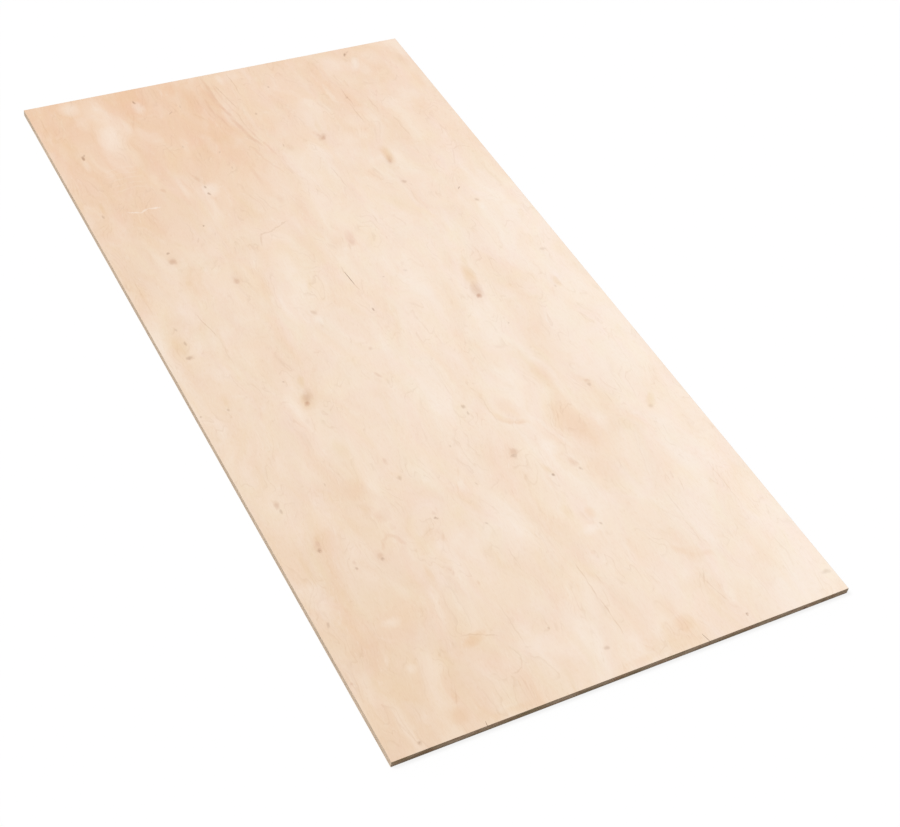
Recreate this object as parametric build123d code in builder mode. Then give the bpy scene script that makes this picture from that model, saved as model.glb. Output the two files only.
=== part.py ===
from build123d import *
import os

# A full sheet of birch plywood, lying flat on its back face. It is one piece of stock:
# veneers glued with their grain crossed, pressed in a hot press, sawn square and sanded.
# +Z is up, +Y runs along the sheet and its face grain, +X runs across it, and the
# origin is the centre of the underside.

# Driving dimensions, in millimetres
length = 2440.0            # along the face grain
width = 1220.0             # across the face grain
ply_count = 13             # odd, so that the veneers of both faces run the same way
thickness = 18.0           # the whole board, sanded
side_grain_setback = 0.15  # a drying veneer draws back from the saw cut, across its grain only
arris_ease = 0.4           # the small flat that sanding leaves along the rim of each face

ply_thickness = thickness / ply_count  # one pressed veneer with its glue line


def veneer_outline(along_length):
    """Outline of one veneer: full size along its own grain, drawn in on its two long-grain sides."""
    if along_length:
        Rectangle(width - 2 * side_grain_setback, length)
    else:
        Rectangle(width, length - 2 * side_grain_setback)


with BuildPart() as plywood_sheet:
    # The press lay-up, from the back veneer to the face veneer. Every second veneer is
    # turned across the sheet, so end grain and side grain take turns down each sawn edge.
    for ply in range(ply_count):
        with BuildSketch(Plane.XY.offset(ply * ply_thickness)):
            veneer_outline(along_length=ply % 2 == 0)
        extrude(amount=ply_thickness)

    # The sander breaks the sharp rim of the back and of the face.
    back = plywood_sheet.faces().sort_by(Axis.Z)[0]
    face = plywood_sheet.faces().sort_by(Axis.Z)[-1]
    chamfer(back.edges() + face.edges(), length=arris_ease)

plywood_sheet.part.label = "plywood_sheet"

os.makedirs("parts", exist_ok=True)
export_step(plywood_sheet.part, "parts/plywood_sheet.step")

print(f"sheet {length:.0f} x {width:.0f} x {thickness:.1f} mm, {ply_count} veneers of {ply_thickness:.2f} mm")
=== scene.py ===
import math

import bmesh
import bpy
from mathutils import Matrix, Quaternion, Vector


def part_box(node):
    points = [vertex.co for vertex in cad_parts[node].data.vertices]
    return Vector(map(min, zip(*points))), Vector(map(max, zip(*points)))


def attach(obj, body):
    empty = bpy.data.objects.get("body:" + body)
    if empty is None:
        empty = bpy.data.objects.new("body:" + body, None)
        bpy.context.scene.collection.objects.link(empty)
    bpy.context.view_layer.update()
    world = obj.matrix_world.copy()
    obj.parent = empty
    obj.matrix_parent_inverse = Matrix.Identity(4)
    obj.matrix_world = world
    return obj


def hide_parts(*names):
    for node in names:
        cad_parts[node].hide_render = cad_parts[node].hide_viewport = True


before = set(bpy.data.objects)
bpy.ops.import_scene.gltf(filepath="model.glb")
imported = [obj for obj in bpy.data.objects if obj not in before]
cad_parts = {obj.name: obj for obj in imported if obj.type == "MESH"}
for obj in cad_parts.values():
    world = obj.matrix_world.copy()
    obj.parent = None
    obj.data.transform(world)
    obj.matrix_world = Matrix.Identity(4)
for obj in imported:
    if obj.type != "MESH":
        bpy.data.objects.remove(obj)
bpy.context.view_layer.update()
MM = 0.001

# The sheet
# Thirteen birch veneers, glued with their grain crossed and pressed into one board, then
# sawn square and sanded on both faces. It is one piece, so it is one closed mesh.

SHEET_LOW, SHEET_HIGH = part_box("plywood_sheet")
SHEET_WIDTH = SHEET_HIGH.x - SHEET_LOW.x
SHEET_LENGTH = SHEET_HIGH.y - SHEET_LOW.y
PLY_COUNT = 13
PLY = (SHEET_HIGH.z - SHEET_LOW.z) / PLY_COUNT
SIDE_GRAIN_SETBACK = 0.15 * MM
ARRIS_EASE = 0.4 * MM
SMALLEST_STEP = 0.001 * MM  # points nearer to each other than this become one
LEVEL = 0.9  # a facet counts as level where its normal stands at least this steep

# The slots of the sheet's materials. The face is drawn in four lengths, so that the material of
# each holds only the marks that lie on it.
FACE_LENGTHS = 4
BACK, SAWN_ENDS, SAWN_SIDES, OPEN_WOOD, FACE = range(5)


def on_sheet(along, across, height=0.0):
    """A point from millimetres along the sheet, across it from its left edge, and above its face."""
    return Vector((SHEET_LOW.x + across * MM, SHEET_LOW.y + along * MM, SHEET_HIGH.z + height * MM))


def grain_runs_along(ply):
    """The back and the face veneer, and every second one between them, run along the sheet."""
    return ply % 2 == 0


def veneer_span(ply):
    """Width and length of one veneer, drawn in on the two sides where its side grain was sawn."""
    if grain_runs_along(ply):
        return SHEET_WIDTH - 2 * SIDE_GRAIN_SETBACK, SHEET_LENGTH
    return SHEET_WIDTH, SHEET_LENGTH - 2 * SIDE_GRAIN_SETBACK


def lifted(board, cap, first=False):
    """Extrudes the top face of the board. Only the very first face stays behind, as the board's back."""
    drawn = bmesh.ops.extrude_face_region(board, geom=cap)["geom"]
    if not first:
        bmesh.ops.delete(board, geom=cap, context="FACES_ONLY")
    return ([part for part in drawn if isinstance(part, bmesh.types.BMFace)],
            [part for part in drawn if isinstance(part, bmesh.types.BMVert)])


def pressed_board():
    """The board, veneer by veneer, with the little steps that crossed grain leaves on a sawn edge."""
    board = bmesh.new()
    width, length = veneer_span(0)
    bmesh.ops.create_grid(board, x_segments=1, y_segments=1, size=0.5)
    bmesh.ops.scale(board, vec=(width, length, 1), verts=board.verts)
    bmesh.ops.translate(board, vec=(0, 0, SHEET_LOW.z), verts=board.verts)
    cap = board.faces[:]
    back_rim = board.edges[:]
    for ply in range(PLY_COUNT):
        cap, corners = lifted(board, cap, first=ply == 0)
        bmesh.ops.translate(board, vec=(0, 0, PLY), verts=corners)
        if ply < PLY_COUNT - 1:
            cap, corners = lifted(board, cap)
            (width, length), (next_width, next_length) = veneer_span(ply), veneer_span(ply + 1)
            bmesh.ops.scale(board, vec=(next_width / width, next_length / length, 1), verts=corners)
    face_rim = cap[0].edges[:]
    bmesh.ops.bevel(board, geom=back_rim + face_rim, offset=ARRIS_EASE, segments=2, profile=0.5,
                    affect="EDGES", material=-1)
    bmesh.ops.recalc_face_normals(board, faces=board.faces)
    for face in board.faces:
        if face.normal.z > LEVEL and face.calc_center_median().z > SHEET_HIGH.z - ARRIS_EASE / 4:
            face.material_index = FACE
        elif face.normal.z < -LEVEL and face.calc_center_median().z < SHEET_LOW.z + ARRIS_EASE / 4:
            face.material_index = BACK
        elif abs(face.normal.y) > abs(face.normal.x):
            face.material_index = SAWN_ENDS
        else:
            face.material_index = SAWN_SIDES
    return board


# Where the face is open: along, across, length, width, depth, turn. The turn is in degrees,
# from the length of the sheet towards its right side.
PIN_HOLES = [
    (1240, 880, 7, 5, 0.6, 25), (1034, 275, 8, 5, 0.6, 20), (2031, 777, 7, 4, 0.5, 40),
    (1861, 917, 7, 4, 0.5, 25), (1693, 158, 4, 3, 0.5, 0), (1899, 361, 7, 4, 0.8, 0),
    (1931, 363, 9, 4, 0.8, 5), (2373, 315, 14, 4, 0.8, -10), (2405, 1026, 17, 5, 0.9, 30),
    (2164, 85, 20, 5, 0.9, 5), (1771, 293, 5, 5, 0.8, 0), (1293, 586, 9, 4, 0.8, 12),
    (585, 738, 6, 5, 0.8, 0), (681, 678, 5, 8, 0.6, 0), (829, 989, 6, 5, 0.6, 0),
    (583, 102, 6, 5, 0.7, 0), (578, 813, 6, 5, 0.6, 0), (504, 227, 6, 5, 0.6, 0),
    (1681, 1053, 12, 3, 0.7, 35), (32, 944, 6, 5, 0.7, 0), (571, 401, 4, 7, 0.6, 0),
    (19, 77, 6, 4, 0.6, 0), (179, 487, 4, 3, 0.5, 0), (406, 767, 4, 3, 0.5, 0),
]
CHECKS = [(1430, 580, 60, 1.4, 0.9, -4), (6, 815, 42, 1.1, 0.9, -12), (0, 232, 28, 1.0, 0.9, 6)]
# Where the sawn edges are open: which edge, place along it, ply, width, depth
CORE_GAPS = [
    ("near", 714, 1, 3.0, 2.5), ("near", 821, 0, 2.5, 2.0), ("near", 1078, 0, 2.0, 2.0),
    ("near", 1094, 3, 5.0, 4.0), ("near", 390, 7, 2.2, 6.0), ("far", 308, 5, 2.5, 8.0),
    ("far", 905, 9, 1.8, 6.0), ("left", 640, 4, 2.0, 7.0), ("left", 1715, 8, 3.0, 9.0),
    ("right", 455, 6, 2.6, 9.0), ("right", 1330, 2, 1.8, 6.0), ("right", 2105, 10, 3.0, 8.0),
]
# Height of a gap, as a share of its veneer's thickness
GAP_HEIGHT = 0.86


def show(corners, slot):
    """Gives the faces between the corners of a new shape the material of a slot."""
    for corner in corners:
        for face in corner.link_faces:
            face.material_index = slot


def open_places():
    """The shapes that are cut out of the board, none touching another."""
    tools = bmesh.new()
    # Each ball's middle is as far above the face as the hole is deep, and its upright radius is
    # twice that. So the ball is this many times as wide in its middle as at the face
    bulge = 1 / math.sqrt(1 - 0.5 ** 2)
    # Pin holes keep the face's own material, with its dark pins. Checks and gaps show torn wood
    for holes, slot in ((PIN_HOLES, FACE), (CHECKS, OPEN_WOOD)):
        for along, across, length, width, depth, turn in holes:
            shape = Matrix.Diagonal((width / 2 * bulge * MM, length / 2 * bulge * MM, 2 * depth * MM, 1))
            place = (Matrix.Translation(on_sheet(along, across, depth))
                     @ Matrix.Rotation(-math.radians(turn), 4, "Z"))
            ball = bmesh.ops.create_uvsphere(tools, u_segments=16, v_segments=14, radius=1.0,
                                             matrix=place @ shape)
            show(ball["verts"], slot)
    for edge, at, ply, width, depth in CORE_GAPS:
        height = SHEET_LOW.z + (ply + 0.5) * PLY - SHEET_HIGH.z
        along, across = {"near": (0, at), "far": (SHEET_LENGTH / MM, at),
                         "left": (at, 0), "right": (at, SHEET_WIDTH / MM)}[edge]
        size = (width, 2 * depth) if edge in ("near", "far") else (2 * depth, width)
        shape = Matrix.Diagonal((size[0] * MM, size[1] * MM, GAP_HEIGHT * PLY, 1))
        place = Matrix.Translation(on_sheet(along, across, height / MM))
        block = bmesh.ops.create_cube(tools, size=1.0, matrix=place @ shape)
        show(block["verts"], OPEN_WOOD)
    return tools


def as_object(shape, name):
    """A mesh object at the origin from a finished shape."""
    mesh = bpy.data.meshes.new(name)
    shape.to_mesh(mesh)
    shape.free()
    made = bpy.data.objects.new(name, mesh)
    bpy.context.scene.collection.objects.link(made)
    return made


def cut_away(body, tools):
    """Cuts the tools' shapes out of the body, and divides its face into lengths."""
    cut = body.modifiers.new("cut", "BOOLEAN")
    cut.operation = "DIFFERENCE"
    cut.solver = "EXACT"
    cut.object = tools
    bpy.context.view_layer.update()
    depsgraph = bpy.context.evaluated_depsgraph_get()
    result = bmesh.new()
    result.from_mesh(body.evaluated_get(depsgraph).to_mesh())
    body.evaluated_get(depsgraph).to_mesh_clear()
    body.modifiers.clear()
    bmesh.ops.remove_doubles(result, verts=result.verts, dist=SMALLEST_STEP)
    bmesh.ops.dissolve_degenerate(result, edges=result.edges, dist=SMALLEST_STEP)
    for number in range(1, FACE_LENGTHS):
        border = SHEET_LOW.y + number * SHEET_LENGTH / FACE_LENGTHS
        bmesh.ops.bisect_plane(result, geom=result.verts[:] + result.edges[:] + result.faces[:],
                               plane_co=(0, border, 0), plane_no=(0, 1, 0))
    for face in result.faces:
        if face.material_index == FACE:
            share = (face.calc_center_median().y - SHEET_LOW.y) / SHEET_LENGTH
            face.material_index = FACE + min(max(int(share * FACE_LENGTHS), 0), FACE_LENGTHS - 1)
    result.to_mesh(body.data)
    result.free()
    bpy.data.objects.remove(tools)


class Value:
    """A number that a material works out, so that shader maths reads as a Python expression."""

    def __init__(self, finish, socket):
        self.finish, self.socket = finish, socket

    def math(self, operation, first, second):
        return self.finish.node("Math", {"operation": operation}, {0: first, 1: second})

    def __add__(self, other):
        return self.math("ADD", self, other)

    __radd__ = __add__

    def __sub__(self, other):
        return self.math("SUBTRACT", self, other)

    def __rsub__(self, other):
        return self.math("SUBTRACT", other, self)

    def __mul__(self, other):
        return self.math("MULTIPLY", self, other)

    __rmul__ = __mul__

    def __truediv__(self, other):
        return self.math("DIVIDE", self, other)

    def __rtruediv__(self, other):
        return self.math("DIVIDE", other, self)

    def at_least(self, other):
        return self.math("MAXIMUM", self, other)

    def fraction(self):
        return self.finish.node("Math", {"operation": "FRACT"}, {0: self})

    def fade(self, start, end, low=0.0, high=1.0):
        """Goes smoothly from low to high while the value goes from start to end."""
        return self.finish.node("MapRange", {"interpolation_type": "SMOOTHSTEP"},
                                {"Value": self, 1: start, 2: end, 3: low, 4: high})


class Finish:
    """The nodes of a material, or of the room's light, in the making."""

    def __init__(self, owner):
        owner.use_nodes = True
        self.owner = owner
        self.owner.node_tree.nodes.clear()

    def node(self, kind, settings, values, result=0):
        """Adds a node: its settings first, then the numbers or links of its sockets."""
        made = self.owner.node_tree.nodes.new("ShaderNode" + kind)
        for setting, value in settings.items():
            setattr(made, setting, value)
        for name, value in values.items():
            if isinstance(value, Value):
                self.owner.node_tree.links.new(value.socket, made.inputs[name])
            else:
                made.inputs[name].default_value = value
        if made.outputs:
            return Value(self, made.outputs[result])

    def mix(self, first, second, share, blend="MIX"):
        """A colour between two, by a share."""
        return self.node("Mix", {"data_type": "RGBA", "blend_type": blend},
                         {0: share, 6: first, 7: second}, result=2)

    def stain(self, colour, tint, share):
        """A colour darkened by a tint, by a share."""
        return self.mix(colour, tint, share, blend="MULTIPLY")

    def in_sheet_millimetres(self):
        """Millimetres across the sheet and along it, from the near left corner, and up from its back."""
        place = self.node("TexCoord", {}, {}, result="Object")
        return self.scaled(place, (1 / MM, 1 / MM, 1 / MM), -SHEET_LOW / MM)

    def scaled(self, place, times, plus):
        """A place, or a noise's colour, times a vector and plus a vector."""
        return self.node("VectorMath", {"operation": "MULTIPLY_ADD"}, {0: place, 1: times, 2: plus})

    def patches(self, place, across, along, shift, detail=2.0, roughness=0.5, result="Fac"):
        """Soft noise whose patches are about so many millimetres across the sheet and along it."""
        spread = self.scaled(place, (1 / across, 1 / along, 0), (shift, 1.7 * shift, 0))
        return self.node("TexNoise", {"noise_dimensions": "2D"},
                         {"Vector": spread, "Scale": 1.0, "Detail": detail, "Roughness": roughness},
                         result=result)

    def dot(self, first, second):
        """The dot product of two vectors."""
        return self.node("VectorMath", {"operation": "DOT_PRODUCT"}, {0: first, 1: second},
                         result="Value")

    def part(self, place, axis):
        """One coordinate of a place."""
        return self.node("SeparateXYZ", {}, {0: place}, result=axis)

    def bump(self, height, reach, strength):
        """A relief as high as the reach where the height goes from 0 to 1."""
        return self.node("Bump", {}, {"Height": height, "Distance": reach, "Strength": strength})

    def surface(self, colour, roughness, normal):
        """Bare wood, which hardly shines."""
        shader = self.node("BsdfPrincipled", {}, {"Base Color": colour, "Roughness": roughness,
                                                  "Normal": normal, "Specular IOR Level": 0.1})
        self.node("OutputMaterial", {}, {"Surface": shader})
        return self.owner


# How much longer than its stretch each oval of a stroke is, so that the ovals run together
OVERLAP = 1.35


def strokes(*drawn):
    """Thin marks, each given by its strength, its width and its points, as overlapping ovals."""
    marks = []
    for strength, width, *points in drawn:
        for (along, across), (next_along, next_across) in zip(points, points[1:]):
            length = math.hypot(next_along - along, next_across - across)
            turn = math.degrees(math.atan2(next_across - across, next_along - along))
            marks.append(((along + next_along) / 2, (across + next_across) / 2,
                          OVERLAP * length + width, width, turn, strength))
    return marks


# The marks of the face: along, across, length, width in millimetres, turn, strength from 0 to 1.
# Pins are the dark dots of small knots.
PINS = [
    (1693, 158, 10, 9, 0, 0.7), (1899, 361, 15, 9, 0, 0.8), (1931, 363, 17, 9, 0, 0.75),
    (2374, 315, 24, 9, -10, 0.85), (2405, 1026, 27, 12, 30, 0.7), (2416, 1038, 20, 8, 45, 0.4),
    (2165, 85, 28, 10, 5, 0.9), (2176, 90, 14, 8, 30, 0.6), (1771, 293, 11, 10, 0, 0.8),
    (1293, 586, 16, 8, 12, 0.75), (585, 738, 13, 11, 0, 0.8), (729, 68, 16, 7, 0, 0.5),
    (1293, 61, 17, 22, 0, 0.5), (1344, 70, 22, 7, 0, 0.5), (1401, 68, 14, 8, 0, 0.35),
    (1681, 1053, 20, 7, 35, 0.8), (1615, 1076, 18, 16, 0, 0.4), (32, 944, 13, 11, 0, 0.7),
    (179, 487, 10, 9, 0, 0.5), (406, 767, 10, 9, 0, 0.5), (1401, 670, 9, 8, 0, 0.4),
    (1127, 249, 9, 8, 0, 0.45), (1118, 906, 9, 8, 0, 0.4), (1086, 10, 10, 8, 0, 0.5),
    (1202, 1103, 16, 10, 0, 0.3), (879, 639, 17, 15, 0, 0.45), (854, 641, 18, 7, 0, 0.4),
    (1763, 913, 18, 18, 0, 0.3), (721, 377, 18, 16, 0, 0.4), (571, 401, 11, 16, 0, 0.6),
    (1159, 513, 15, 13, 0, 0.2), (1407, 739, 15, 13, 0, 0.25), (1355, 1149, 14, 24, 0, 0.25),
    (702, 1101, 16, 14, 30, 0.25), (1083, 82, 14, 12, 0, 0.45), (2035, 651, 26, 6, 10, 0.4),
    (2205, 637, 14, 9, 0, 0.35), (2323, 725, 12, 9, 0, 0.4), (1899, 49, 22, 10, 0, 0.45),
    (2122, 372, 16, 9, 0, 0.3), (78, 584, 15, 18, 0, 0.4), (65, 1199, 18, 34, 10, 0.35),
    (512, 508, 12, 12, 0, 0.35), (381, 30, 24, 10, 20, 0.45), (19, 77, 16, 12, 0, 0.5),
    (2291, 399, 26, 5, 35, 0.45), (2193, 932, 9, 8, 0, 0.4), (504, 158, 12, 10, 0, 0.55),
    (504, 228, 14, 12, 0, 0.5), (583, 102, 15, 13, 0, 0.5), (578, 813, 14, 13, 0, 0.4),
    (829, 989, 13, 11, 0, 0.35), (680, 677, 15, 22, 0, 0.45), (1338, 432, 18, 20, 0, 0.2),
    (631, 546, 16, 6, 0, 0.35), (767, 544, 14, 6, 0, 0.35), (767, 201, 14, 6, 0, 0.35),
    (1986, 470, 14, 6, 20, 0.35), (2069, 463, 14, 6, 30, 0.35), (2313, 437, 18, 6, 10, 0.35),
]
# Hearts are the brown middles of knots
HEARTS = [
    (1240, 881, 26, 20, 30, 1.0), (1034, 275, 26, 20, 25, 0.9), (1050, 282, 40, 26, 10, 0.35),
    (2031, 779, 28, 16, 40, 0.5), (2048, 770, 24, 16, 30, 0.35), (1864, 917, 28, 18, 25, 0.4),
    (1657, 158, 32, 26, 15, 0.6), (1525, 289, 28, 20, 15, 0.5), (694, 686, 28, 24, 30, 0.4),
    (846, 991, 18, 14, 0, 0.3), (602, 106, 24, 14, 20, 0.4), (602, 809, 42, 24, -15, 0.25),
    (522, 160, 20, 12, 0, 0.4), (588, 403, 18, 14, 0, 0.35), (745, 65, 22, 17, 0, 0.5),
    (783, 370, 28, 15, 0, 0.35), (1062, 486, 34, 12, -25, 0.45), (1437, 744, 22, 14, 10, 0.25),
    (214, 10, 12, 10, 0, 0.5), (1567, 653, 30, 20, 10, 0.3), (405, 362, 20, 8, 30, 0.35),
]
# Grey, olive, orange and red stains lie around the knots and in the wood between them
GREYS = [
    (1266, 887, 76, 44, 10, 0.8), (1060, 286, 66, 38, 15, 0.65), (2035, 777, 48, 28, 35, 0.8),
    (1870, 918, 54, 28, 15, 0.6), (1662, 158, 44, 32, 0, 0.35), (1530, 289, 40, 28, 0, 0.4),
    (516, 226, 30, 20, 10, 0.6), (1615, 1076, 26, 22, 0, 0.4), (754, 66, 32, 20, 0, 0.6),
    (1338, 432, 26, 24, 0, 0.5), (1159, 513, 22, 18, 0, 0.3), (1355, 1149, 20, 28, 0, 0.35),
    (1763, 913, 24, 22, 0, 0.4), (879, 639, 26, 20, 0, 0.35), (2019, 665, 54, 28, 0, 0.35),
    (840, 990, 30, 18, 0, 0.35), (1293, 66, 28, 30, 0, 0.5), (702, 1101, 30, 22, 35, 0.3),
    (692, 682, 30, 28, 20, 0.45), (588, 103, 30, 22, 0, 0.4), (512, 390, 34, 12, 20, 0.35),
    (2205, 637, 26, 14, 0, 0.3), (78, 584, 22, 26, 0, 0.3),
]
OLIVES = [
    (1330, 896, 120, 46, 12, 0.8), (1385, 912, 60, 26, 10, 0.6), (1110, 292, 60, 24, 10, 0.8),
    (1040, 282, 70, 52, 15, 0.6), (1900, 925, 110, 42, 5, 0.75), (1835, 910, 50, 30, 0, 0.4),
    (605, 735, 58, 24, -20, 0.7), (465, 710, 62, 28, 0, 0.5), (859, 287, 84, 42, 5, 0.45),
    (1442, 465, 90, 20, 15, 0.5), (1513, 1168, 72, 28, 25, 0.5), (658, 256, 40, 26, 0, 0.5),
    (1560, 168, 26, 24, 0, 0.5), (1181, 151, 30, 24, 0, 0.4), (1115, 86, 66, 22, 5, 0.5),
    (2077, 1130, 26, 16, 0, 0.4), (1938, 59, 68, 16, 0, 0.7), (2270, 37, 34, 30, 0, 0.4),
    (1801, 894, 40, 14, -15, 0.4), (724, 380, 30, 24, 0, 0.4), (722, 1112, 66, 30, 30, 0.8),
    (1338, 57, 100, 44, 0, 0.6), (2090, 786, 70, 18, 10, 0.5), (2070, 812, 40, 14, 25, 0.5),
    (620, 112, 40, 22, 20, 0.5), (1219, 1118, 66, 20, 5, 0.7), (549, 53, 137, 22, 0, 0.5),
    (700, 285, 60, 40, 0, 0.3), (960, 880, 170, 34, -5, 0.4), (1240, 700, 150, 40, 0, 0.25),
    (870, 700, 120, 24, 0, 0.4), (1590, 540, 200, 60, 0, 0.3), (1480, 620, 160, 40, -10, 0.3),
    (1010, 60, 160, 40, 0, 0.25), (1750, 1130, 120, 40, 0, 0.25), (1640, 350, 160, 40, 5, 0.3),
]
ORANGES = [
    (63, 790, 70, 70, 35, 0.9), (49, 191, 66, 60, 20, 0.8), (96, 202, 56, 24, 10, 0.6),
    (217, 318, 36, 80, -20, 0.85), (446, 760, 50, 32, 0, 0.7), (720, 885, 220, 110, -15, 0.6),
    (660, 905, 90, 44, 20, 0.5), (909, 891, 130, 60, -5, 0.7), (424, 308, 74, 22, -5, 0.55),
    (1895, 923, 100, 38, 5, 0.7), (1320, 897, 130, 46, 12, 0.5), (40, 760, 120, 170, 0, 0.5),
    (60, 470, 100, 60, 0, 0.25), (30, 240, 60, 60, 0, 0.4), (1290, 45, 60, 40, 0, 0.4),
    (650, 910, 60, 60, 0, 0.3), (730, 260, 90, 70, 20, 0.45), (400, 300, 70, 40, 0, 0.3),
    (1060, 260, 60, 40, 0, 0.3), (1560, 605, 90, 50, 10, 0.35), (100, 150, 90, 50, 10, 0.3),
    (2260, 60, 120, 60, 0, 0.4), (1550, 40, 140, 30, 0, 0.3), (2360, 900, 100, 50, 0, 0.3),
    (2050, 490, 260, 90, -5, 0.35), (160, 860, 60, 70, 0, 0.35), (1225, 1115, 70, 30, 0, 0.4),
    (1000, 960, 340, 120, 0, 0.35), (750, 980, 240, 110, 0, 0.3), (1320, 960, 220, 110, 0, 0.3),
    (130, 690, 240, 110, 0, 0.35), (30, 90, 80, 140, 0, 0.35), (540, 860, 160, 100, 0, 0.3),
    (1150, 800, 200, 70, 0, 0.25), (1560, 1000, 260, 100, 0, 0.3), (2100, 1120, 260, 110, 0, 0.35),
    (2350, 510, 220, 200, 0, 0.45), (110, 150, 280, 340, 0, 0.3), (1620, 560, 420, 220, 0, 0.35),
    (2130, 240, 260, 180, 0, 0.3), (1321, 60, 260, 120, 0, 0.3), (1600, 480, 200, 90, 0, 0.3),
    (1480, 330, 150, 80, 0, 0.3),
    (830, 745, 120, 64, -20, 0.45), (236, 930, 60, 70, 0, 0.4), (690, 960, 90, 60, 0, 0.35),
    (38, 118, 100, 100, 0, 0.55), (42, 695, 90, 80, 0, 0.5), (124, 775, 90, 56, 0, 0.4),
    (1588, 612, 110, 76, 0, 0.55), (2402, 450, 80, 84, 0, 0.45), (2316, 42, 110, 70, 0, 0.45),
    (1915, 40, 150, 60, 0, 0.55), (1345, 38, 130, 60, 0, 0.5), (2340, 1180, 170, 60, 0, 0.45),
    (450, 362, 80, 56, 10, 0.35), (1590, 1182, 120, 50, 0, 0.4), (1548, 598, 110, 60, 10, 0.5),
    (2408, 496, 70, 60, 0, 0.4), (60, 165, 90, 60, 15, 0.45), (1630, 642, 90, 50, 5, 0.4),
    (1866, 526, 110, 46, 0, 0.35), (16, 650, 30, 120, 0, 0.5), (14, 300, 28, 160, 0, 0.45),
    (2215, 1192, 120, 44, 0, 0.4), (1310, 22, 120, 44, 0, 0.45),
] + strokes(
    (0.5, 28, (223, 968), (232, 940), (240, 915), (272, 891)),
    (0.6, 24, (773, 764), (783, 737), (800, 712), (822, 702)),
    (0.4, 5, (621, 489), (660, 505), (702, 534)),
)
REDS = [
    (1585, 655, 76, 34, 10, 0.8), (1567, 653, 44, 30, 15, 0.7), (626, 287, 58, 50, 20, 0.6),
    (585, 292, 30, 20, 0, 0.4), (606, 806, 48, 26, -10, 0.5), (524, 226, 36, 22, 0, 0.4),
    (1807, 541, 50, 27, 0, 0.4), (1981, 532, 40, 18, 0, 0.4), (1932, 520, 140, 18, -5, 0.5),
    (1954, 244, 26, 17, 0, 0.7), (416, 358, 32, 30, 0, 0.4), (1040, 478, 30, 22, 0, 0.3),
    (333, 701, 22, 16, 0, 0.4), (354, 401, 18, 12, 0, 0.4), (1662, 154, 44, 34, 0, 0.4),
    (783, 370, 36, 22, 0, 0.35), (2060, 765, 30, 18, 20, 0.4), (500, 160, 40, 16, 0, 0.3),
    (1242, 882, 80, 56, 20, 0.4), (1036, 276, 76, 50, 20, 0.45), (2036, 778, 90, 54, 20, 0.35),
    (1868, 918, 84, 50, 15, 0.35), (1660, 158, 84, 60, 10, 0.3), (1530, 290, 76, 48, 10, 0.3),
    (690, 682, 70, 54, 25, 0.3), (600, 106, 62, 38, 15, 0.3), (505, 226, 56, 36, 10, 0.3),
    (1570, 600, 50, 60, 0, 0.25), (2020, 590, 80, 24, 0, 0.25), (520, 390, 60, 20, 0, 0.3),
    (1050, 290, 44, 30, 0, 0.3), (2345, 545, 190, 18, -5, 0.5),
] + strokes(
    (0.4, 12, (773, 760), (780, 735), (792, 712), (806, 700)),
    (0.6, 14, (528, 296), (550, 290), (566, 268), (550, 250), (534, 244)),
    (0.45, 9, (1949, 363), (2008, 341)), (0.45, 9, (2085, 337), (2155, 320)),
    (0.45, 9, (2242, 268), (2323, 291)), (0.4, 5, (11, 687), (35, 680), (59, 663)),
    (0.9, 14, (2060, 590), (2130, 570), (2210, 560), (2290, 553), (2435, 546)),
    (0.6, 9, (2000, 618), (2080, 598), (2150, 584)), (0.6, 10, (2160, 540), (2240, 522), (2330, 515)),
    (0.5, 9, (1920, 600), (1990, 575), (2050, 560)), (0.5, 8, (2210, 585), (2300, 572), (2400, 566)),
)
# Fine dark lines: surface cracks and scratches, and painted shade along one open check
LINES = strokes(
    (0.6, 4, (97, 641), (150, 645), (205, 643), (262, 640), (321, 645)),
    # This stroke is painted shade, the dark inside of the check that is cut out at the same place
    (0.6, 4, (1377, 584), (1410, 581), (1445, 578), (1480, 577)),
    (0.5, 5, (207, 368), (221, 339), (234, 296)),
    (0.45, 4, (85, 924), (117, 915), (158, 906), (191, 922)), (0.4, 4, (321, 1127), (469, 1134)),
    (0.4, 4, (419, 1022), (463, 1027)), (0.35, 4, (256, 963), (340, 970), (430, 975)),
    (0.4, 4, (751, 1012), (789, 1012)), (0.4, 4, (800, 701), (887, 694)),
    (0.35, 4, (1110, 698), (1159, 698)), (0.35, 4, (1224, 163), (1344, 153)),
    (0.65, 4, (1344, 153), (1442, 142)), (0.35, 4, (1474, 30), (1545, 35), (1616, 33)),
    (0.5, 4, (1795, 746), (1845, 742), (1894, 741)), (0.4, 4, (2091, 993), (2194, 996)),
    (0.5, 4, (1620, 758), (1650, 758)), (0.4, 4, (1545, 753), (1557, 753)),
    (0.55, 4, (2307, 632), (2427, 632)), (0.5, 4, (2160, 584), (2226, 584)),
    (0.55, 5, (2248, 596), (2310, 584), (2378, 575)),
    (0.5, 7, (1712, 520), (1703, 491), (1690, 472), (1685, 444), (1677, 425), (1643, 415)),
    (0.35, 6, (1850, 1177), (1864, 1153), (1856, 1125), (1791, 1096)), (0.4, 4, (2302, 25), (2406, 34)),
    (0.4, 4, (152, 415), (283, 418)), (0.35, 5, (365, 518), (414, 518)),
    (0.4, 4, (242, 672), (270, 672)), (0.6, 5, (2063, 925), (2150, 932), (2242, 937)),
    (0.4, 5, (98, 353), (108, 380), (136, 391), (164, 380)), (0.4, 4, (69, 196), (120, 212)),
)
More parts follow.
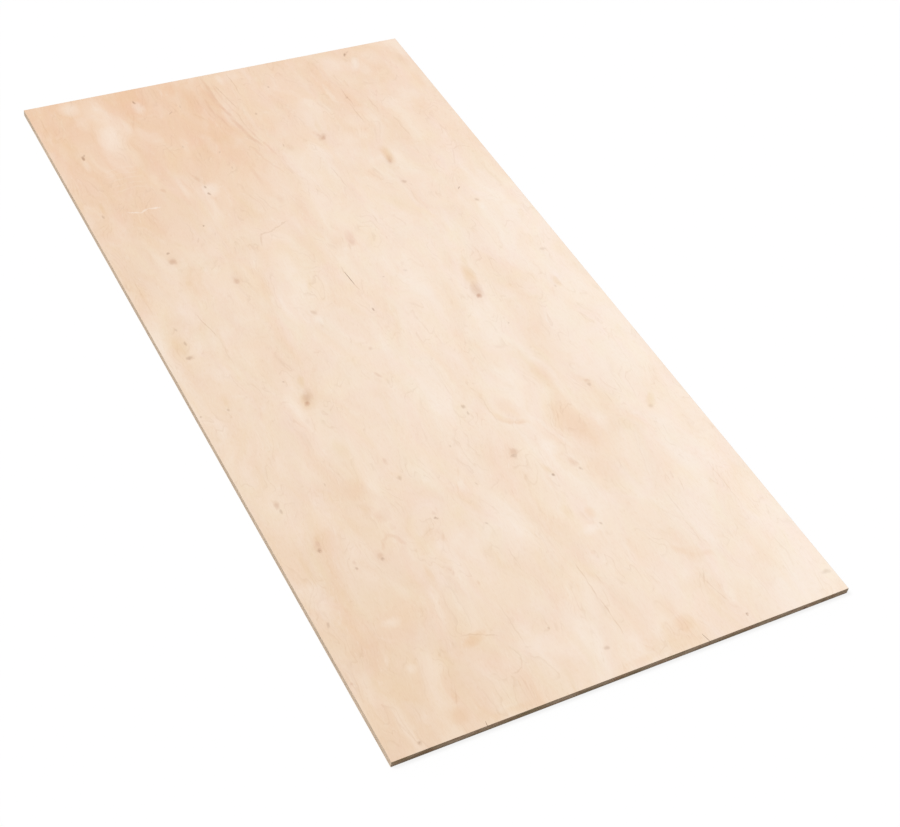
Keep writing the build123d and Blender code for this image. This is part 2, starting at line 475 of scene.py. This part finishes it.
# Pale places: clear wood beside knots, worn spots and light scratches, and the painted sheen of a ripple
# figure
PALES = [
    (1915, 375, 80, 60, 0, 0.8), (2345, 318, 84, 44, 5, 0.65), (2350, 1036, 96, 40, 15, 0.8),
    (2130, 82, 74, 26, 0, 0.5), (1584, 1077, 50, 26, 0, 0.8), (1308, 434, 46, 32, 0, 0.7),
    (709, 953, 115, 44, 0, 0.7), (674, 780, 72, 62, 0, 0.7), (397, 735, 40, 64, 0, 0.8),
    (1344, 739, 150, 84, 0, 0.45), (2073, 963, 74, 62, 0, 0.5), (2226, 891, 155, 24, 0, 0.5),
    (2226, 192, 170, 100, 3, 0.5), (331, 163, 40, 62, 0, 0.6), (201, 149, 34, 32, 0, 0.5),
    (1945, 300, 150, 20, -5, 0.4), (300, 1000, 260, 50, 0, 0.35), (120, 560, 260, 70, 0, 0.3),
    (500, 560, 560, 120, 0, 0.4), (720, 70, 280, 120, 0, 0.5), (1530, 80, 200, 90, 0, 0.35),
    (1930, 830, 220, 120, 0, 0.4), (2130, 700, 200, 120, 0, 0.4), (850, 1060, 240, 60, 0, 0.3),
    (650, 510, 70, 30, 10, 0.5), (100, 940, 70, 30, 10, 0.5), (2200, 610, 220, 24, -5, 0.4),
    (2400, 600, 70, 30, 0, 0.6), (1300, 860, 60, 26, 0, 0.3), (2300, 720, 100, 60, 0, 0.35),
    (830, 180, 200, 60, 0, 0.35), (1340, 190, 120, 60, 0, 0.3), (2365, 185, 170, 110, 0, 0.45),
    (470, 420, 140, 50, 0, 0.25), (1000, 420, 200, 60, 0, 0.25), (1720, 660, 200, 70, 0, 0.3),
    (2400, 125, 90, 84, 0, 0.75), (1995, 852, 110, 90, 0, 0.5), (2076, 905, 100, 84, 0, 0.4),
    (612, 1182, 150, 60, 0, 0.45), (690, 150, 170, 110, 0, 0.4), (450, 42, 150, 60, 0, 0.5),
    (856, 42, 130, 60, 0, 0.5), (124, 368, 100, 84, 0, 0.4), (126, 1014, 150, 80, 0, 0.4),
    (2372, 1100, 130, 80, 0, 0.45), (1462, 124, 170, 76, 0, 0.4), (1592, 368, 120, 76, 0, 0.45),
    (1668, 286, 100, 64, 0, 0.35), (1180, 774, 150, 80, 0, 0.35), (2318, 1056, 90, 50, 10, 0.5),
    (2006, 896, 70, 60, 5, 0.5), (2080, 962, 150, 40, 0, 0.5), (1098, 1126, 120, 60, 0, 0.4),
    (2326, 140, 110, 60, 0, 0.45), (568, 1192, 130, 50, 0, 0.4), (215, 1060, 150, 50, 0, 0.4),
    (1028, 944, 110, 50, 0, 0.4), (320, 936, 110, 50, 0, 0.35), (572, 186, 120, 60, 0, 0.4),
    (636, 684, 100, 50, 0, 0.35), (830, 632, 130, 60, 0, 0.35), (2108, 454, 120, 50, 0, 0.4),
    (1812, 728, 100, 50, 0, 0.35), (982, 502, 120, 50, 0, 0.35),
] + strokes(
    (0.9, 8, (1894, 122), (1881, 150), (1893, 178), (1887, 208)),
    # Five faint strokes across the grain, from 1988 to 2084 along, are painted sheen: the pale bands of
    # a ripple figure, where the curled fibres catch the light
    (0.35, 7, (1988, 122), (1996, 165), (1990, 212)), (0.35, 7, (2012, 118), (2020, 160), (2013, 208)),
    (0.35, 7, (2036, 120), (2044, 165), (2038, 214)), (0.35, 7, (2060, 116), (2068, 160), (2061, 210)),
    (0.35, 7, (2084, 122), (2092, 166), (2085, 214)), (0.5, 16, (650, 835), (710, 815), (790, 790)),
    (0.25, 26, (2180, 470), (2290, 500), (2400, 520)),
)

# The veneer's own colours, but the second is partly painted light: the wood as it looks on its brighter,
# washed-out side
TAN_BIRCH = (0.83, 0.64, 0.482, 1)
CREAM_AND_LIT_BIRCH = (0.955, 0.82, 0.705, 1)
PEACH_BIRCH = (0.855, 0.615, 0.447, 1)
CLEAR_BIRCH = (0.955, 0.865, 0.785, 1)
# What a stain leaves of them
SHADE_TINT = (0.95, 0.90, 0.84, 1)
WARM_TINT = (0.965, 0.90, 0.825, 1)
OLIVE_TINT = (0.945, 0.905, 0.80, 1)
ORANGE_TINT = (0.95, 0.86, 0.755, 1)
RED_TINT = (0.915, 0.83, 0.785, 1)
GREY_TINT = (0.845, 0.755, 0.69, 1)
HEART_TINT = (0.74, 0.59, 0.53, 1)
PIN_TINT = (0.56, 0.48, 0.43, 1)
LINE_TINT = (0.80, 0.72, 0.645, 1)
# Tint, marks, and how softly a mark begins at its rim
STAINS = [
    (ORANGE_TINT, ORANGES, 0.12), (OLIVE_TINT, OLIVES, 0.08), (RED_TINT, REDS, 0.08),
    (GREY_TINT, GREYS, 0.12), (HEART_TINT, HEARTS, 0.15), (LINE_TINT, LINES, 0.05),
    (PIN_TINT, PINS, 0.05),
]
# The first hearts of the list are the big knots, and the growth lines bend around them
BIG_KNOTS = HEARTS[:12]


def turned(finish, place, turn):
    """The place in coordinates turned about the sheet's corner, so that a turned mark runs along Y."""
    sine, cosine = math.sin(math.radians(turn)), math.cos(math.radians(turn))
    return finish.node("CombineXYZ", {}, {"X": finish.dot(place, (cosine, -sine, 0)),
                                          "Y": finish.dot(place, (sine, cosine, 0))})


def ovals(finish, place, marks, softness):
    """Which share of each point a list of oval marks takes, the strongest of them counting."""
    # Marks with the same turn, to the nearest ten degrees, share one turned place
    by_turn = sorted((10 * round(turn / 10), along, across, length, width, strength)
                     for along, across, length, width, turn, strength in marks)
    share, last_turn, turned_place = None, 0, place
    for turn, along, across, length, width, strength in by_turn:
        if turn != last_turn:
            turned_place = turned(finish, place, turn) if turn else place
            last_turn = turn
        middle = Matrix.Rotation(math.radians(turn), 2) @ Vector((across, along))
        from_middle = finish.scaled(turned_place, (2 / width, 2 / length, 0),
                                    (-2 * middle.x / width, -2 * middle.y / length, 0))
        distance_squared = finish.dot(from_middle, from_middle)
        mark = finish.node("Math", {"operation": "MULTIPLY_ADD"},
                           {0: distance_squared, 1: -strength, 2: strength})
        share = mark.at_least(0.0) if share is None else share.at_least(mark)
    return share * share / (share + softness)


def veneer(name, shift, marked=None):
    """Rotary-cut birch: drifting colour, curling figure, growth lines and pores. The marks are drawn
    only between the two places along the sheet that are given, and without them not at all."""
    def here(marks):
        """The marks that lie on the marked length, and those that reach into it."""
        if marked is None:
            return []
        start, end = marked
        return [mark for mark in marks if start - mark[2] - mark[3] < mark[0] < end + mark[2] + mark[3]]

    finish = Finish(bpy.data.materials.new(name))
    sheet_place = finish.in_sheet_millimetres()
    # Marks waver a little on their outline, and the figure curls much more
    waver = finish.patches(sheet_place, 22, 40, shift + 4.3, 2.0, 0.6, result="Color")
    place = finish.scaled(waver, (9, 16, 0), finish.scaled(sheet_place, (1, 1, 1), (-4.5, -8, 0)))
    curl = finish.patches(sheet_place, 150, 260, shift + 7.9, 2.0, 0.5, result="Color")
    curled = finish.scaled(curl, (110, 200, 0), place)
    across = finish.part(place, "X")
    along = finish.part(place, "Y")

    # The broad drift of colour over the sheet. It grows paler towards the right side, partly by the
    # wood's own tone and partly by painted light, a brighter, washed-out right half
    cream_and_lit = across.fade(-50, 850, 0.0, 0.66) + across.fade(950, 1200, 0.0, 0.34)
    cream_and_lit = cream_and_lit + 0.28 * along.fade(200, 1000) * along.fade(2100, 1500) * (1.0 - cream_and_lit)
    colour = finish.mix(TAN_BIRCH, CREAM_AND_LIT_BIRCH, cream_and_lit)
    # Towards the far end the wood turns peach, with a border along the sheet in its left half
    # that is clear at the far end and blurred nearer
    blur = along.fade(1600, 2250, 150, 12)
    left_part = finish.part(curled, "X").fade(blur + 622, 622 - blur)
    peach = along.fade(1350, 2500, 0.0, 0.6).at_least(along.fade(1500, 2300, 0.0, 0.95) * left_part)
    colour = finish.mix(colour, PEACH_BIRCH, peach)

    # The soft figure, from patches as wide as a hand down to streaks, each a little off in hue
    hues = finish.patches(curled, 60, 130, shift + 12.4, 3.0, 0.55, result="Color")
    hues = finish.scaled(hues, (0.035, 0.06, 0.10), (0.983, 0.97, 0.95))
    colour = finish.mix(colour, hues, 1.0, blend="MULTIPLY")
    broad = finish.patches(curled, 110, 300, shift + 1.1, 2.0, 0.6) - 0.5
    colour = finish.stain(colour, WARM_TINT, broad.fade(-0.05, 0.3, 0.0, 0.55))
    colour = finish.mix(colour, CLEAR_BIRCH, broad.fade(0.0, -0.3, 0.0, 0.36))
    figure = (finish.patches(curled, 30, 80, shift + 2.7, 3.0, 0.6) - 0.5) * 0.85
    figure = figure + (finish.patches(curled, 11, 26, shift + 6.2, 3.0, 0.6) - 0.5) * 0.55
    colour = finish.stain(colour, SHADE_TINT, figure.fade(0.0, 0.7))
    colour = finish.mix(colour, CLEAR_BIRCH, figure.fade(0.0, -0.7, 0.0, 0.45))

    # Short flecks, dark and pale, that lie fifteen degrees askew to the grain
    flecks = finish.patches(turned(finish, place, 15), 3.2, 30, shift + 14.6, 2.0)
    in_places = broad.fade(-0.15, 0.25, 0.3, 1.0)
    colour = finish.stain(colour, LINE_TINT, flecks.fade(0.58, 0.78, 0.0, 0.2) * in_places)
    colour = finish.mix(colour, CLEAR_BIRCH, flecks.fade(0.36, 0.2, 0.0, 0.25) * in_places)

    # Growth lines, where the knife crossed one year's wood into the next: sharp on one side
    years = finish.patches(curled, 120, 420, shift + 3.4, 3.0, 0.5) * 17 + across / 90
    around_knots = [(at, off, 4 * length, 3.5 * width, turn, strength)
                    for at, off, length, width, turn, strength in here(BIG_KNOTS)]
    if around_knots:
        years = years + 0.6 * ovals(finish, place, around_knots, 0.2)
    year_line = years.fraction().fade(0.70, 1.0)
    shown = finish.patches(curled, 50, 110, shift + 8.8, 2.0).fade(0.47, 0.68)
    colour = finish.stain(colour, LINE_TINT, year_line * shown * 0.28)

    # Pale places, the ripple figure's painted sheen among them
    if here(PALES):
        colour = finish.mix(colour, CLEAR_BIRCH, ovals(finish, place, here(PALES), 0.2) * 0.7)
    knots = 0.0
    for tint, marks, softness in STAINS:
        if here(marks):
            share = ovals(finish, place, here(marks), softness)
            colour = finish.stain(colour, tint, share)
            if marks in (HEARTS, PINS):
                knots = share + knots

    # Pores and fibres. Knots are harder than the wood around them, so they shine a little more
    pores = finish.patches(sheet_place, 0.9, 16, shift + 5.5, 1.0)
    fibres = finish.patches(sheet_place, 1.6, 70, shift + 9.1, 2.0, 0.6)
    colour = finish.stain(colour, SHADE_TINT, pores.fade(0.58, 0.80, 0.0, 0.8))
    colour = finish.stain(colour, SHADE_TINT, fibres.fade(0.40, 0.75, 0.0, 0.25))
    roughness = 0.52 + 0.14 * fibres + figure * 0.05 - 0.1 * knots
    height = fibres * 0.6 - pores.fade(0.58, 0.80, 0.0, 0.5)
    return finish.surface(colour, roughness, finish.bump(height, 0.12 * MM, 0.6))


SIDE_GRAIN = (0.60, 0.455, 0.32, 1)
PALE_SIDE_GRAIN = (0.70, 0.56, 0.42, 1)
END_GRAIN = (0.42, 0.30, 0.205, 1)
PORE_TINT = (0.62, 0.56, 0.5, 1)
GLUE_LINE = (0.17, 0.105, 0.065, 1)
# A pale cut colour, partly painted light: the long sides are drawn towards it as if more brightly lit
FRESH_AND_LIT_CUT = (0.80, 0.65, 0.50, 1)
# What handling, damp and the saw leave of the colour of a cut edge
HANDLED_TINT = (0.72, 0.70, 0.60, 1)
RUDDY_TINT = (0.96, 0.84, 0.78, 1)
GRIMY_TINT = (0.80, 0.79, 0.78, 1)
SAW_BURN = (0.62, 0.55, 0.47, 1)


def sawn(name, edge_runs_across, first_end_grain, fresh_and_lit_share, spots):
    """A sawn edge: crossed veneers, end grain by turns with side grain, and dark glue lines between.
    The first veneer from the back that shows end grain is number 0 or 1."""
    finish = Finish(bpy.data.materials.new(name))
    place = finish.in_sheet_millimetres()
    run = finish.part(place, "X" if edge_runs_across else "Y")
    height = finish.part(place, "Z")
    flat = finish.node("CombineXYZ", {}, {"X": height, "Y": run})
    # Veneers, counted up from the back, are not of quite the same thickness all along
    layer = (height + (finish.patches(flat, 30, 260, 2.2) - 0.5) * 0.25) / (PLY / MM)
    in_ply = layer.fraction()
    in_pair = (layer * 0.5).fraction()
    end_grain = in_pair.fade(0.49, 0.51) if first_end_grain == 1 else in_pair.fade(0.51, 0.49)
    glue = in_ply.fade(0.1, 0.0).at_least(in_ply.fade(0.9, 1.0))
    streaks = finish.patches(flat, 0.5, 22, 1.3)
    pores = finish.patches(flat, 0.35, 0.5, 7.7)
    side = finish.mix(SIDE_GRAIN, PALE_SIDE_GRAIN, streaks.fade(0.3, 0.7))
    ends = finish.stain(END_GRAIN, PORE_TINT, pores.fade(0.45, 0.75))
    colour = finish.mix(side, ends, end_grain)
    colour = finish.stain(colour, HANDLED_TINT, finish.patches(flat, 16, 120, 5.1, 3.0).fade(0.42, 0.75))
    colour = finish.stain(colour, RUDDY_TINT, finish.patches(flat, 12, 60, 9.4, 2.0).fade(0.5, 0.75))
    colour = finish.stain(colour, GRIMY_TINT, finish.patches(flat, 9, 34, 3.9, 2.0).fade(0.5, 0.75))
    for tint, places in spots:
        colour = finish.stain(colour, tint, ovals(finish, flat, places, 0.05))
    # Mixed towards the pale cut colour: partly paler wood, partly painted light that draws the long
    # sides brighter than the ends
    colour = finish.mix(colour, FRESH_AND_LIT_CUT, fresh_and_lit_share)
    glue_shown = finish.patches(flat, 3, 40, 6.6).fade(0.25, 0.6, 0.35, 0.9)
    colour = finish.mix(colour, GLUE_LINE, glue * glue_shown)
    saw_marks = finish.patches(flat, 60, 0.9, 8.2, 2.0)
    colour = finish.stain(colour, SAW_BURN, saw_marks.fade(0.5, 0.8, 0.0, 0.4))
    relief = saw_marks + end_grain * pores - glue * 0.8
    return finish.surface(colour, 0.62 + 0.2 * end_grain, finish.bump(relief, 0.15 * MM, 0.8))


DARK_TORN_WOOD = (0.20, 0.12, 0.075, 1)
PALE_TORN_WOOD = (0.36, 0.24, 0.16, 1)


def open_wood(name):
    """The torn wood inside checks and core gaps: dark and dry."""
    finish = Finish(bpy.data.materials.new(name))
    grain = finish.patches(finish.in_sheet_millimetres(), 0.6, 5, 1.9)
    colour = finish.mix(DARK_TORN_WOOD, PALE_TORN_WOOD, grain.fade(0.3, 0.7))
    return finish.surface(colour, 0.85, finish.bump(grain, 0.3 * MM, 1.0))


# Stains on the sawn ends, seen at the near one: reddish, greenish and dark. Their places are in
# millimetres across the sheet from its left corner, and up from the back
END_STAINS = [
    ((0.80, 0.55, 0.50, 1), [
        (814, 9, 22, 8, 0, 0.8), (939, 11, 26, 8, 0, 0.7), (1055, 12, 20, 7, 0, 0.8),
        (1176, 12, 24, 7, 0, 0.8), (1004, 16, 30, 5, 0, 0.6), (560, 10, 30, 8, 0, 0.4)]),
    ((0.72, 0.72, 0.52, 1), [
        (715, 15, 46, 7, 0, 0.9), (24, 14, 60, 12, 0, 0.9), (330, 12, 80, 10, 0, 0.5)]),
    ((0.45, 0.33, 0.36, 1), [
        (1094, 5, 20, 7, 0, 1.0), (952, 16, 16, 5, 0, 0.8), (60, 6, 120, 10, 0, 0.4)]),
]

sheet = as_object(pressed_board(), "birch_plywood_sheet")
cut_away(sheet, as_object(open_places(), "cutters"))
# The back is a veneer of its own, so its noise is shifted far from the noise of the face
sheet.data.materials.append(veneer("back_veneer", shift=31.0))
sheet.data.materials.append(
    sawn("sawn_ends", edge_runs_across=True, first_end_grain=0, fresh_and_lit_share=0.0, spots=END_STAINS))
# The long sides, the left one facing the lamp, are drawn paler than the ends: partly their paler wood,
# partly painted light
sheet.data.materials.append(
    sawn("sawn_sides", edge_runs_across=False, first_end_grain=1, fresh_and_lit_share=0.7, spots=[]))
sheet.data.materials.append(open_wood("open_wood"))
for number in range(FACE_LENGTHS):
    start = number * SHEET_LENGTH / FACE_LENGTHS / MM
    end = start + SHEET_LENGTH / FACE_LENGTHS / MM
    sheet.data.materials.append(
        veneer("face_veneer_%d" % (number + 1), shift=0.0, marked=(start, end)))
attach(sheet, "root")
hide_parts("plywood_sheet")

# The floor
# A plain white studio floor, level with the underside of the sheet. The camera sees it
# nearly white, with the soft shadow that the sheet throws on it.

FLOOR_REACH = 40.0
floor_shape = bmesh.new()
bmesh.ops.create_grid(floor_shape, x_segments=1, y_segments=1, size=FLOOR_REACH)
bmesh.ops.translate(floor_shape, vec=(0, 0, SHEET_LOW.z), verts=floor_shape.verts)
floor = as_object(floor_shape, "studio_floor")
paint = Finish(bpy.data.materials.new("studio_floor"))
# Light bounces off a pale grey floor, and the camera sees one that glows nearly white
seen = paint.node("LightPath", {}, {}, result="Is Camera Ray")
real = paint.node("BsdfDiffuse", {}, {"Color": (0.7, 0.7, 0.7, 1)})
shown_base = paint.node("BsdfDiffuse", {}, {"Color": (0.16, 0.16, 0.16, 1)})
shown_glow = paint.node("Emission", {}, {"Color": (1, 1, 1, 1), "Strength": 0.84})
shown = paint.node("AddShader", {}, {0: shown_base, 1: shown_glow})
paint.node("OutputMaterial", {}, {"Surface": paint.node("MixShader", {}, {0: seen, 1: real, 2: shown})})
floor.data.materials.append(paint.owner)

# The light
# A broad soft lamp high on the left and a little behind, and an even pale room.

SUN_FROM = Vector((-0.45, 0.35, 0.82))
sun_data = bpy.data.lights.new("window_light", "SUN")
sun_data.energy = 2.3
sun_data.angle = math.radians(25)
sun = bpy.data.objects.new("window_light", sun_data)
sun.rotation_euler = SUN_FROM.to_track_quat("Z", "Y").to_euler()
bpy.context.scene.collection.objects.link(sun)

bpy.context.scene.world = bpy.data.worlds.new("pale_room")
room = Finish(bpy.context.scene.world)
lit = room.node("Background", {}, {"Color": (1, 1, 1, 1), "Strength": 0.42})
white = room.node("Background", {}, {"Color": (1, 1, 1, 1), "Strength": 1.0})
# The room is white where it is seen, in reflections too, and dimmer where it only gives light
seen_white = room.node("LightPath", {}, {}, result="Is Camera Ray")
for ray in ("Is Glossy Ray", "Is Transmission Ray"):
    seen_white = seen_white.at_least(room.node("LightPath", {}, {}, result=ray))
room.node("OutputWorld", {}, {"Surface": room.node("MixShader", {}, {0: seen_white, 1: lit, 2: white})})

# The camera
# It looks down on the sheet from beyond its near left corner, and is turned a little about its
# own line of sight.

camera_data = bpy.data.cameras.new("camera")
camera_data.sensor_width = 36
camera_data.lens = 68.86
camera = bpy.data.objects.new("camera", camera_data)
bpy.context.scene.collection.objects.link(camera)
CAMERA_PLACE = Vector((-1.7492, -2.9122, 3.0949))
CAMERA_AIM = Vector((-0.0134, -0.3503, 0.018))
CAMERA_ROLL = math.radians(9.08)
camera.location = CAMERA_PLACE
camera.rotation_mode = "QUATERNION"
camera.rotation_quaternion = ((CAMERA_AIM - CAMERA_PLACE).to_track_quat("-Z", "Y")
                              @ Quaternion((0, 0, 1), CAMERA_ROLL))
bpy.context.scene.camera = camera
bpy.context.scene.view_settings.view_transform = "Standard"
